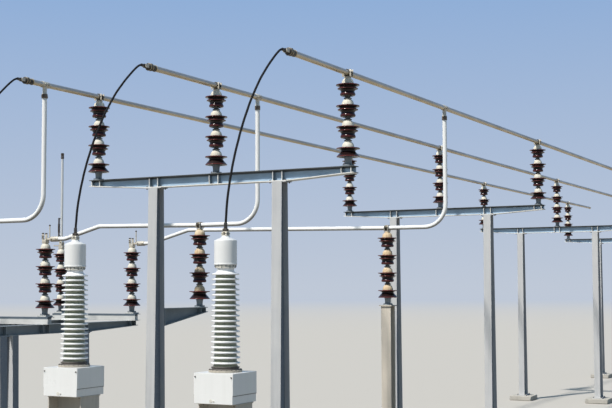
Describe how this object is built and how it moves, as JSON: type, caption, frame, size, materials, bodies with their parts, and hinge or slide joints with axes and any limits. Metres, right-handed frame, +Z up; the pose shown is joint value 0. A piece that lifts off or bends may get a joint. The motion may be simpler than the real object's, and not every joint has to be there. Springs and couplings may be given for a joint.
{
  "type": "substation switchgear bay",
  "caption": "Outdoor switchgear bay: tube busbars on steel portals with stacked insulators, side runs to a disconnector with upright blades, and instrument transformers on jumpers.",
  "frame": {"origin": "middle of the bay's outline, on the ground under its concrete pads", "axes": "+Y along the busbars, away from the instrument transformers; +X across the bay, away from the side runs; +Z up"},
  "size_m": [9.81, 38.21, 7.0588],
  "materials": {
    "concrete": "cast concrete, trowelled top",
    "column_steel": "galvanised steel, matt",
    "beam_steel": "galvanised steel, matt",
    "stand_steel": "galvanised steel, matt",
    "brown_porcelain": "dark brown glaze",
    "grey_porcelain": "pale grey glaze",
    "cap_metal": "galvanised malleable iron, weathered",
    "fitting_metal": "cast aluminium",
    "busbar_tube": "drawn tube, dull",
    "run_tube": "drawn tube, bright",
    "white_paint": "white enamel",
    "turret_paint": "weathered paint",
    "cable_jacket": "black sheath"
  },
  "bodies": {
    "bay": {"portal_pads": "concrete", "stand_pads": "concrete", "transformer_pads": "concrete", "portal_1_columns": "column_steel", "portal_1_crossbeam": "beam_steel", "portal_1_porcelain": "brown_porcelain", "portal_1_caps": "cap_metal", "portal_2_columns": "column_steel", "portal_2_crossbeam": "beam_steel", "portal_2_porcelain": "brown_porcelain", "portal_2_caps": "cap_metal", "portal_3_columns": "column_steel", "portal_3_crossbeam": "beam_steel", "portal_3_porcelain": "brown_porcelain", "portal_3_caps": "cap_metal", "portal_4_columns": "column_steel", "portal_4_crossbeam": "beam_steel", "portal_4_porcelain": "brown_porcelain", "portal_4_caps": "cap_metal", "busbar_a": "busbar_tube", "busbar_b": "busbar_tube", "busbar_c": "busbar_tube", "busbar_clamps": "fitting_metal", "busbar_sleeves": "fitting_metal", "busbar_end_caps": "fitting_metal", "tee_connectors": "fitting_metal", "run_a": "run_tube", "run_b": "run_tube", "run_c": "run_tube", "post_stands": "column_steel", "arm_stand": "beam_steel", "post_porcelain": "brown_porcelain", "post_caps": "cap_metal", "run_clamps": "fitting_metal", "switch_columns": "column_steel", "switch_beams": "beam_steel", "switch_bases": "stand_steel", "switch_jaws": "fitting_metal", "switch_hinges": "fitting_metal", "transformer_stands": "stand_steel", "transformer_tanks": "white_paint", "transformer_turrets": "turret_paint", "transformer_porcelain": "grey_porcelain", "transformer_heads": "white_paint", "transformer_terminals": "fitting_metal", "jumper_a": "cable_jacket", "jumper_b": "cable_jacket", "jumper_c": "cable_jacket"},
    "blades": {"switch_blades": "run_tube"}
  },
  "joints": [
    {"name": "blades_swing", "type": "hinge", "parent": "bay", "child": "blades", "pos_m": [-4.685, -13.655, 4.65], "axis": [0, 1, 0], "range_deg": [0, 90]}
  ]
}
